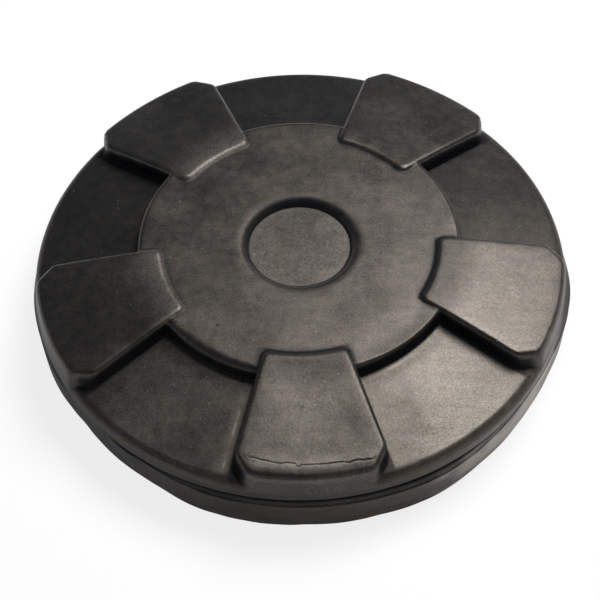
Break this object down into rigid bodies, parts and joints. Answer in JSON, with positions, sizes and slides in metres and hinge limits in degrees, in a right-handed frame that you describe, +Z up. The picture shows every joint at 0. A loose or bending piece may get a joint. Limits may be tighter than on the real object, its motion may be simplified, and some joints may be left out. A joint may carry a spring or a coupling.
{
  "type": "rubber jack pad",
  "caption": "Round moulded rubber jack pad with a raised central seat, a shallow round recess, keystone blocks on a sloping shoulder, and a hollow underside that slips over a carrier plate.",
  "frame": {"origin": "centre of the bottom face, on the pad's axis", "axes": "+Z up along the pad's axis, out of the seat; -Y towards the viewer of the picture, where the front block points"},
  "size_m": [0.125, 0.125, 0.0255],
  "materials": {
    "black_rubber": "satin"
  },
  "bodies": {
    "root": {"jack_pad": "black_rubber"}
  },
  "joints": []
}
